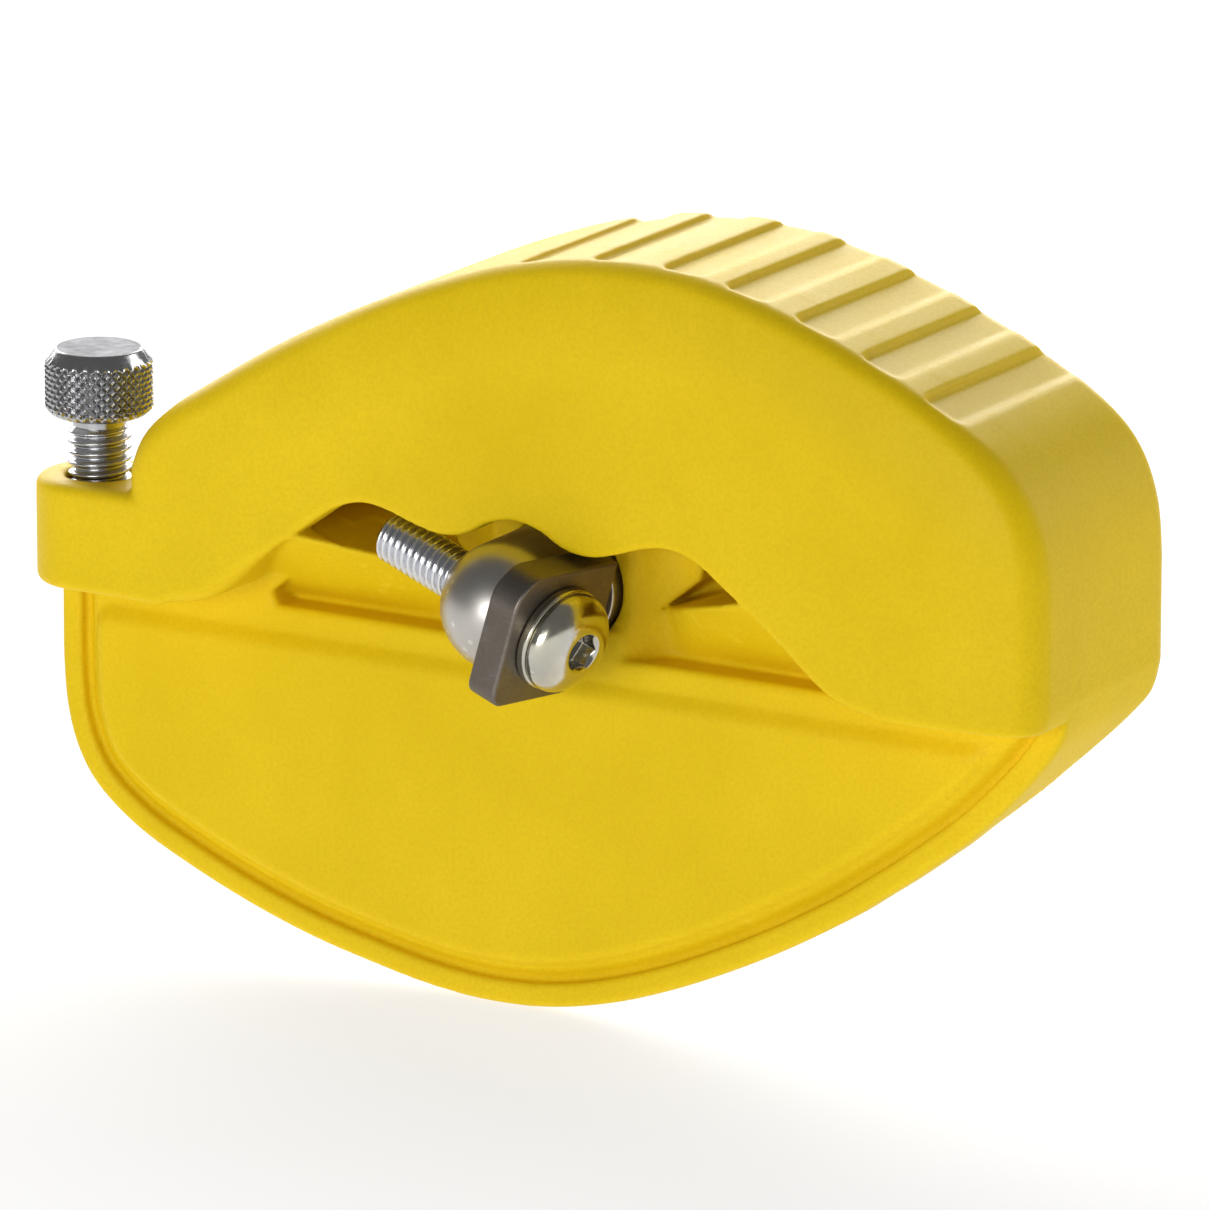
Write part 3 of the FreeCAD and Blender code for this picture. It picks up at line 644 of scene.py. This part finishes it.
def overhang():
    """The front wall above the guide plane, with the ear and the window."""
    # the flat front has a soft shoulder that falls back towards the outline
    shoulder = 1.9 * ramp(X, -40.0, -20.0) * ramp(Z, -2.0, 6.0)
    shoulder = shoulder + 1.9 * (ramp(X, 30, 44) * (1 - ramp(Z, -2.0, 6.0)))
    outline = np.vstack([[(-60.0, -40.0), (-60.0, 12.0)], top_row[top_row[:, 1] > 11.9],
                         [(RIGHT, 7.0), (RIGHT, -40.0)]])
    depth_in = np.maximum(-polygon(outline, X, Z), 0)
    width = 9.0 + 1.5 * ramp(X, 25, 45)
    front = -7.0 + shoulder * np.clip(1 - depth_in / width, 0, 1) ** 2
    edge_r = 1.35 + 1.1 * (1 - ramp(X, -36, -12)) + 0.9 * ramp(X, 40, 52)
    wall = meet(body, front - Y, edge_r)
    wall = meet(wall, -Z, 0.65)
    wall = both(wall, Y - 3.2)

    # a round ear, joined to the wall by a block of the same width
    block = both(EAR_X - X, X + 38.8, np.abs(Y - EAR_Y) - EAR_R)
    ear = meet(either(ear_axis - EAR_R, block), Z - EAR_TOP, 1.05)
    ear = meet(ear, -Z, 0.8)
    wall = merge(wall, ear, 0.35 * ramp(Z, 8.2, 9.6) * ramp(Y, -6.4, -5.0) + SHARP)

    window_r = (0.55 + 1.1 * ramp(-X, 20, 32) * (1 - ramp(Z, 4, 8))
                + 0.5 * ramp(X, 22, 32) * (1 - ramp(Z, 3, 7)))
    return cut(wall, window, window_r)


def back_body():
    """The body behind the front wall, its underside sloping up to the back."""
    slope = ((Y - BACK_Y) * 11.0 + (Z - 0.3) * -14.9) / 18.52
    front = PLATE_Y + 0.8 * ramp(Z, 0.6, 4.2) * (1 - ramp(Z, 14, 15)) * (1 - ramp(SIDE, 7.5, 9.5))
    front_r = 0.8 * ramp(-Z, 0.0, 1.5) + SHARP
    shape = meet(body, Y - BACK_Y, 3.0)
    shape = meet(shape, meet(Y - BACK_Y, slope, 3.2), 0.9 * ramp(Y, 7, 10) + SHARP)
    shape = meet(shape, front - Y, front_r)

    plate = meet(meet(above_rim(3.0), PLATE_Y - Y, front_r), Y - 4.6, 1.2)
    plate = both(plate, Z - 2.0)
    shape = merge(shape, plate, 1.3 * ramp(Y, 3.2, 4.4) * (1 - ramp(X, 30, 38)) + SHARP)

    hub_drum = both(meet(hub - 11.0, Y - BACK_Y, 1.5), 4.1 - Y)
    hub_r = 1.0 * ramp(-Z, -0.5, 1.5) * ramp(18.5 - Y, 0, 2) * ramp(Y, 4.6, 6) + SHARP
    shape = merge(shape, hub_drum, hub_r)

    clamp_boss = meet(meet(clamp_axis - 6.2, -10.4 - Z, 0.5), Z + 1.0, 0.01)
    return merge(shape, clamp_boss, 0.8 * ramp(Y, 4.4, 6) + SHARP)


def add_guide_pad(shape):
    """A raised pad inside the rim, straight along its top, with a gutter round it."""
    pad_inset = 3.9
    rim = above_rim(14.0)
    lean = 0.9 + 0.85 * ramp(Z, -5.5, -3.6)      # slope of the pad's flank
    flank = meet(rim + pad_inset, Z + 2.9, 2.2)
    flank = (flank + lean * (PLATE_Y - Y)) / np.sqrt(1 + lean ** 2)
    pad = both(meet(flank, -Y, 0.35), Y - 1.2)
    shape = merge(shape, pad, 0.12 * (1 - ramp(Y, 0.9, 1.1)) + SHARP)

    gutter = both(rim + 2.3, -(rim + pad_inset + 0.9 * (PLATE_Y - Y)) * 0.743,
                  np.where(SIDE > 42, Z + 0.2, Z + 3.6), Y - 1.9)
    return cut(shape, gutter, 0.35)


def cut_recess(shape):
    """The recess either side of the hub, its floor coming forward near the hub."""
    floor = meet(Y - 4.4, (Y - PLATE_Y - 1.1 * (SIDE - 6.5)) * 0.673, 1.3)
    return cut(shape, meet(recess, floor, 0.5), 0.6)


def add_scoop(shape):
    """Scooped floor either side of the hub: deep along its lower edge, it comes forward and
    outward to the window's edge and stops at a sloping lip below the pocket."""
    from_hub = SIDE - 9.3
    deep_y = 4.4
    lip_z = 3.8 + 0.35 * from_hub
    lip_y = deep_y - 0.816 * from_hub
    up = np.clip((Z + 0.6) / np.maximum(lip_z + 0.6, 0.5), 0, 1)
    floor_y = deep_y - np.maximum(deep_y - lip_y, 0) * up ** 1.15
    xs, _, zs = housing_axes
    slope_x, slope_z = np.gradient(floor_y, xs, zs, axis=(0, 2))
    flatten = 1 / np.sqrt(1 + slope_x ** 2 + slope_z ** 2)   # keeps the field a distance
    scoop = meet((floor_y - Y) * flatten, (Z - lip_z) * 0.944, 0.25)
    scoop = both(scoop, Y - 5.0, either(window, recess) - 0.7, 9.0 - SIDE, -1.4 - Z, -6.9 - Y)
    return merge(shape, scoop, 0.25)


def cut_bores(shape):
    # carrier pin: a close bore in front, a wider one behind
    pin_bore = np.where(Y < 5.05, PIN_R + 0.3, 7.54)
    shape = cut(shape, both(hub - pin_bore, Y - 17.0), 0.28)
    # depth screw, up through the ear
    mouth_r = np.where((X < -40) & (Z > -0.8), 0.35, SHARP)
    shape = cut(shape, both(ear_axis - np.where(Z < 4.7, 3.3, 3.2), -Z - 0.4), mouth_r)
    # room for the blade screw's threaded end, widening away from the ball
    along, off = about_ball(X, Y, Z, SCREW_AIM)
    tipward = -along
    shape = cut(shape, both(off - SCREW_BORE_R - 0.036 * np.clip(tipward, 0, 16),
                            np.abs(tipward - 9.8) - 5.8))
    # seat for the insert inside the ear
    shape = cut(shape, both(ear_axis - 4.22, np.abs(Z - 6.85) - 2.25))
    # upright bores under the hub: the insert's, then a narrower one above
    shape = cut(shape, both(clamp_axis - 4.02, Z + 4.6))
    return cut(shape, both(clamp_axis - HOLE_R, Z - 0.5))


def cut_core(shape):
    """The hollow inside, which the rear cover closes."""
    inset = body + 2.8
    lower = meet(meet(inset, 3.2 - Z, 0.8), 11.6 - Y, 0.8)
    upper = meet(meet(inset, 16.4 - Z, 0.8), -4.0 - Y, 1.2)
    core = cut(either(lower, upper), hub - 10.4)
    for rib_x in (-21.0, 22.0):
        core = cut(core, both(np.abs(X - rib_x) - 0.9, Y - 16.5))
    for bx, bz in BOSSES:
        core = cut(core, np.hypot(X - bx, Z - bz) - 3.6, 0.4)
    shape = cut(shape, both(core, Y - 17.0))
    shape = cut(shape, both(cover_outline(X, Z, gap=0.12), 16.9 - Y), 0.3)
    for bx, bz in BOSSES:
        shape = cut(shape, both(np.hypot(X - bx, Z - bz) - 1.3, 7.9 - Y, Y - 17.5))
    return shape


def cut_grooves(shape):
    """Finger grooves over the top, closed at the front and open at the back."""
    row = catmull(TOP, 24)
    tangents = np.gradient(row, axis=0)
    tangents /= np.linalg.norm(tangents, axis=1)[:, None]

    def on_top(x):
        """Point, tangent and outward normal of the top outline at x."""
        i = int(np.argmin(np.abs(row[:, 0] - x) + 100 * (row[:, 1] < 15)))
        t = tangents[i]
        return row[i], t, np.array([-t[1], t[0]])

    sections = []
    for x in GROOVE_X:
        p, t, n = on_top(x)
        p2, t2, n2 = on_top(x + 3.7 * t[0])
        sections.append(polygon([p - n * 0.62 + t * 0.05, p2 - n2 * 0.46 - t2 * 0.15,
                                 p2 + n2 * 0.9 + t2 * 1.5, p + n * 2.2], X, Z))
    corner_r = 0.25
    groove = meet(either(*sections) + corner_r, -3.7 - Y, 1.3) - corner_r
    return cut(shape, groove, 0.42)


def make_housing():
    back = cut_recess(add_guide_pad(back_body()))
    shape = merge(overhang(), back, 0.5 * ramp(-body, 0.6, 2.8) + SHARP)
    # clear whatever still stands behind the window opening
    shape = cut(shape, both(window, Y - 0.75, -Z - 0.2))
    shape = add_scoop(shape)
    # the pockets open out behind the front wall
    shape = cut(shape, meet(meet(either_side(POCKET), Y - 9.4, 0.6), -3.9 - Y, 0.4), 0.3)
    shape = cut_grooves(cut_core(cut_bores(shape)))
    obj = solid("front_housing_moulding", shape, housing_axes, yellow)
    register(obj, "housing", "front_housing")


# ============================================================ rear cover
def make_cover():
    hole_r = 1.7
    axes, (x, y, z) = grid((-37.8, 50.8), (16.2, 20.0), (-4.6, 35.2), 0.36)
    outline = cover_outline(x, z)
    shape = both(meet(outline, y - BACK_Y, 0.5), 16.92 - y)
    # a shallow groove runs inside the outline
    shape = cut(shape, both(np.abs(outline + 4.2) - 0.5, 19.15 - y), 0.15)
    # screw holes: through, countersunk, with a shallow counterbore
    for bx, bz in BOSSES:
        off = np.hypot(x - bx, z - bz)
        shape = cut(shape, off - hole_r)
        shape = cut(shape, (off - hole_r - (y - 17.9)) * 0.7071)
        shape = cut(shape, both(off - 3.5, 19.2 - y), 0.1)
    obj = solid("rear_cover_moulding", shape, axes, yellow_cover)
    register(obj, "housing", "rear_cover")


# ============================================================ cutter
# own axes of the blade, washer and screw: z runs along the screw from the ball's centre
screw_z = np.array(SCREW_AIM) / np.linalg.norm(SCREW_AIM)
screw_x = np.array([0, 1, 0]) - screw_z * screw_z[1]
screw_x /= np.linalg.norm(screw_x)
CUTTER = placement((0, BALL_Y, PIN_Z), screw_x, np.cross(screw_z, screw_x), screw_z)


def make_pin():
    """A cylinder with a ball end, a flat for the blade and a hole for its screw."""
    axes, (x, y, z) = grid((-6.6, 6.6), (-14.4, 14.9), (-1.2, 12.2), 0.19)
    behind, up = y - BALL_Y, z - PIN_Z
    cylinder = meet(np.hypot(x, up) - PIN_R, y - PIN_END, 0.8)
    ball = np.sqrt(x ** 2 + behind ** 2 + up ** 2) - PIN_R
    along, off = about_ball(x, y, z, screw_z)
    shape = np.where(behind < 0, ball, cylinder)
    shape = cut(shape, both(FLAT_AT - along, behind - 8.4))
    shape = cut(shape, off - SCREW_BORE_R, 0.22)
    obj = solid("carrier_pin_turned", shape, axes, satin)
    register(obj, "carrier", "carrier_pin")


def make_blade():
    half = 6.35
    # (x sign, y sign, radius) of each corner
    corners = ((1, -1, 3.6), (-1, 1, 3.2), (1, 1, 0.3), (-1, -1, 1.5))
    axes, (x, y, z) = grid((-6.9, 6.9), (-6.9, 6.9), (2.3, 6.5), 0.16)
    square = both(np.abs(x) - half, np.abs(y) - half)
    for sx, sy, r in corners:
        cx, cy = sx * x - (half - r), sy * y - (half - r)
        rounded = np.hypot(np.maximum(cx, 0), np.maximum(cy, 0)) - r
        square = np.where((cx > 0) & (cy > 0), rounded, square)
    middle = FLAT_AT + GAP + BLADE_T / 2
    shape = meet(square, np.abs(z - middle) - BLADE_T / 2, 0.14)
    shape = cut(shape, np.hypot(x, y) - HOLE_R, 0.2)
    obj = solid("blade_ground", shape, axes, ground, CUTTER)
    register(obj, "carrier", "blade")


def make_washer():
    axes, (x, y, z) = grid((-5.3, 5.3), (-5.3, 5.3), (5.7, 7.4), 0.12)
    middle = FLAT_AT + GAP + BLADE_T + GAP + WASHER_T / 2
    half_thickness = 0.49
    off = np.hypot(x, y)
    shape = meet(off - 4.9, np.abs(z - middle) - half_thickness, 0.2)
    shape = cut(shape, off - HOLE_R, 0.15)
    obj = solid("blade_washer_pressed", shape, axes, zinc, CUTTER)
    register(obj, "washer", "blade_washer")


def make_blade_screw():
    """A domed head with a hex socket on a thread that stands out past the ball."""
    head_r, edge_h, head_h = 4.75, 0.45, 2.72
    axes, (x, y, z) = grid((-5.2, 5.2), (-5.2, 5.2), (HEAD_AT - 0.5, HEAD_AT + 3.2), 0.12)
    off = np.hypot(x, y)
    up = z - HEAD_AT
    # an elliptical dome above a short cylindrical edge
    dome = (off / head_r) ** 2 + (np.maximum(up - edge_h, 0) / 2.55) ** 2
    dome = (np.sqrt(np.maximum(dome, 1e-9)) - 1) * 2.9
    shape = np.where(up < edge_h, off - head_r, dome)
    shape = meet(shape, up - head_h, 0.25)
    shape = meet(shape, -up, 0.25)
    shape = cut(shape, both(hexagon(x, y, 3.05), 0.95 - up), 0.12)
    shape = cut(shape, (off - 1.95 + (head_h - up) * 0.9) * 0.74, 0.05)   # socket chamfer
    head = solid("bs_head", shape, axes, zinc, CUTTER)
    thread = helix(crest=2.42, root=1.94, pitch=0.8, z0=HEAD_AT - 22.0, z1=HEAD_AT + 0.3,
                   seg=60, rows_per_turn=12, taper0=0.7, taper1=0.1)
    shank = mesh_object("bs_shank", *thread, zinc_bright, CUTTER)
    obj = join([head, shank], "blade_screw_zinc")
    register(obj, "blade_screw", "blade_screw")


# ============================================================ depth screw
def knurled_head():
    seg, base_z, head_h, head_r = 720, 15.5, 6.4, 5.0
    grooves, lead, groove_depth = 30, 1.02, 0.40
    # (radius, height, knurl weight) up the head's outline
    profile = [(2.2, 0.0, 0), (3.4, 0.0, 0), (3.9, 0.03, 0), (4.2, 0.12, 0), (4.5, 0.3, 0.1),
               (4.75, 0.55, 0.6)]
    profile += [(head_r, z, 1.0) for z in np.linspace(0.72, head_h - 1.42, 76)]
    # the same, with heights measured down from the top
    profile += [(r, head_h - down, weight) for r, down, weight in (
        (4.93, 1.34, 0.7), (4.84, 1.22, 0.25), (4.72, 1.08, 0), (4.36, 0.6, 0), (4.06, 0.2, 0),
        (3.96, 0.07, 0), (3.84, 0.02, 0), (3.7, 0, 0), (2.4, 0.02, 0), (1.2, 0.03, 0))]
    radius, height, weight = np.array(profile, float).T[:, :, None]
    turns = grooves * (np.arange(seg) * 2 * math.pi / seg) / (2 * math.pi)
    a = (turns + height / lead) % 1.0
    b = (turns - height / lead) % 1.0
    # 0 on a groove line, 1 mid way between two
    rise = np.minimum(np.minimum(a, 1 - a) * 2, np.minimum(b, 1 - b) * 2)
    radii = radius - groove_depth * (1 - np.clip(rise / 0.72, 0, 1)) * weight
    return tube(radii, base_z + height[:, 0])


def make_depth_screw():
    """A knurled head, an undercut neck, a thread and a plain tip, upright in the ear."""
    place = placement((EAR_X, EAR_Y, 0))
    head = mesh_object("ds_head", *knurled_head(), turned, place, sharp=32)
    threads = helix(crest=2.95, root=2.36, pitch=1.0, z0=2.6, z1=14.6, seg=72,
                    rows_per_turn=14, taper0=0.6, taper1=0.6)
    thread = mesh_object("ds_thread", *threads, turned, place)
    # (radius, z) up each turned profile
    neck_profile = [(0, 13.6), (2.36, 13.6), (2.36, 14.5), (2.45, 14.62), (2.45, 15.2),
                    (2.7, 15.45), (2.9, 15.6), (0, 15.6)]
    neck = mesh_object("ds_neck", *lathe(neck_profile, 96), turned, place, sharp=30)
    tip_profile = [(0, 1.4), (0.85, 1.4), (0.98, 1.53), (0.98, 2.7), (0, 2.7)]
    tip = mesh_object("ds_tip", *lathe(tip_profile, 48), turned, place, sharp=30)
    obj = join([head, thread, neck, tip], "depth_screw_knurled")
    register(obj, "depth_screw", "depth_screw")


# ============================================================ cover screws
def make_cover_screws():
    """Countersunk heads with hex sockets; each screw's own z points to the back."""
    axes, (x, y, z) = grid((-3.4, 3.4), (-3.4, 3.4), (17.0, 19.8), 0.13)
    off = np.hypot(x, y)
    shape = both((off - (1.5 + (z - 17.75))) * 0.7071, off - 3.0)
    shape = both(meet(shape, z - 19.45, 0.1), 17.3 - z)
    shape = cut(shape, both(hexagon(x, y, 2.05), 18.0 - z), 0.1)
    thread = helix(crest=1.47, root=1.16, pitch=0.5, z0=9.2, z1=17.7, seg=32,
                   rows_per_turn=8, taper0=1.6, taper1=0.1)
    parts = []
    for i, (bx, bz) in enumerate(BOSSES):
        place = placement((bx, 0, bz), (0, 0, 1), (1, 0, 0), (0, 1, 0))
        parts.append(solid("cs_head%d" % i, shape, axes, black_oxide, place))
        parts.append(mesh_object("cs_shank%d" % i, *thread, black_oxide, place))
    register(join(parts, "cover_screws_black"), "housing", "cover_screws")


make_housing()
make_cover()
make_pin()
make_blade()
make_washer()
make_blade_screw()
make_depth_screw()
make_cover_screws()

# inner pieces keep their CAD shape and get a finish
for piece, finish in (("clamp_sleeve", bronze), ("clamp_pad", brass), ("clamp_insert", brass),
                      ("clamp_screw", black_oxide), ("depth_screw_insert", brass),
                      ("depth_foot", nylon)):
    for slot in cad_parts[piece].material_slots:
        slot.material = finish

# ============================================================ studio, in metres
scene = bpy.context.scene
VIEW = np.array([-0.49702, 0.82718, -0.26219])         # the camera looks this way
VIEW_RIGHT = np.array([0.85717, 0.51504, 0.0])
VIEW_UP = np.array([-0.13504, 0.22474, 0.96502])
MIDDLE = np.array([0.0, 0.005, 0.017])                 # what the lights aim at


def make_floor():
    """A pale, slightly glowing square just below the rim's lowest point."""
    half = 4.0
    z = (min(z for _, z in RIM) + DROP) * MM - 0.0003
    me = bpy.data.meshes.new("floor")
    me.from_pydata([(-half, -half, z), (half, -half, z), (half, half, z), (-half, half, z)],
                   [], [(0, 1, 2, 3)])
    obj = bpy.data.objects.new("floor", me)
    scene.collection.objects.link(obj)
    mat, _, bsdf = shader("pale_floor")
    bsdf.inputs["Base Color"].default_value = (0.3, 0.3, 0.3, 1)
    bsdf.inputs["Roughness"].default_value = 0.9
    bsdf.inputs["Specular IOR Level"].default_value = 0.0
    bsdf.inputs["Emission Color"].default_value = (1, 1, 1, 1)
    bsdf.inputs["Emission Strength"].default_value = 0.74
    me.materials.append(mat)


def make_world():
    world = bpy.data.worlds.new("studio")
    scene.world = world
    world.use_nodes = True
    background = world.node_tree.nodes["Background"]
    background.inputs["Color"].default_value = (1, 1, 1, 1)
    background.inputs["Strength"].default_value = 0.16


def area(name, right, up, toward, size, size_y, power):
    """A light placed from MIDDLE in the camera's own directions; toward is to the camera."""
    light = bpy.data.lights.new(name, "AREA")
    light.shape = "RECTANGLE"
    light.size = size
    light.size_y = size_y
    light.energy = power
    obj = bpy.data.objects.new(name, light)
    obj.location = tuple(MIDDLE + VIEW_RIGHT * right + VIEW_UP * up - VIEW * toward)
    aim = Vector(MIDDLE) - obj.location
    obj.rotation_euler = aim.to_track_quat("-Z", "Y").to_euler()
    scene.collection.objects.link(obj)


def make_camera():
    cam = bpy.data.cameras.new("camera")
    cam.sensor_width = 36.0
    cam.sensor_fit = "HORIZONTAL"
    cam.lens = 336.2
    cam.clip_start = 0.05
    cam.clip_end = 30
    obj = bpy.data.objects.new("camera", cam)
    turn = Matrix(tuple(zip(VIEW_RIGHT, VIEW_UP, -VIEW)))
    obj.matrix_world = Matrix.Translation((0.50924, -0.83834, 0.28630)) @ turn.to_4x4()
    scene.collection.objects.link(obj)
    scene.camera = obj


make_floor()
make_world()
area("top_back", right=-0.1, up=0.62, toward=-0.66, size=1.1, size_y=0.6, power=16.0)
area("front_left", right=-0.55, up=-0.12, toward=1.0, size=0.7, size_y=0.36, power=6.3)
area("right_side", right=0.9, up=0.45, toward=-0.2, size=0.5, size_y=0.7, power=3.9)
make_camera()
scene.view_settings.view_transform = "Standard"
scene.view_settings.look = "None"
scene.view_settings.exposure = 0.0
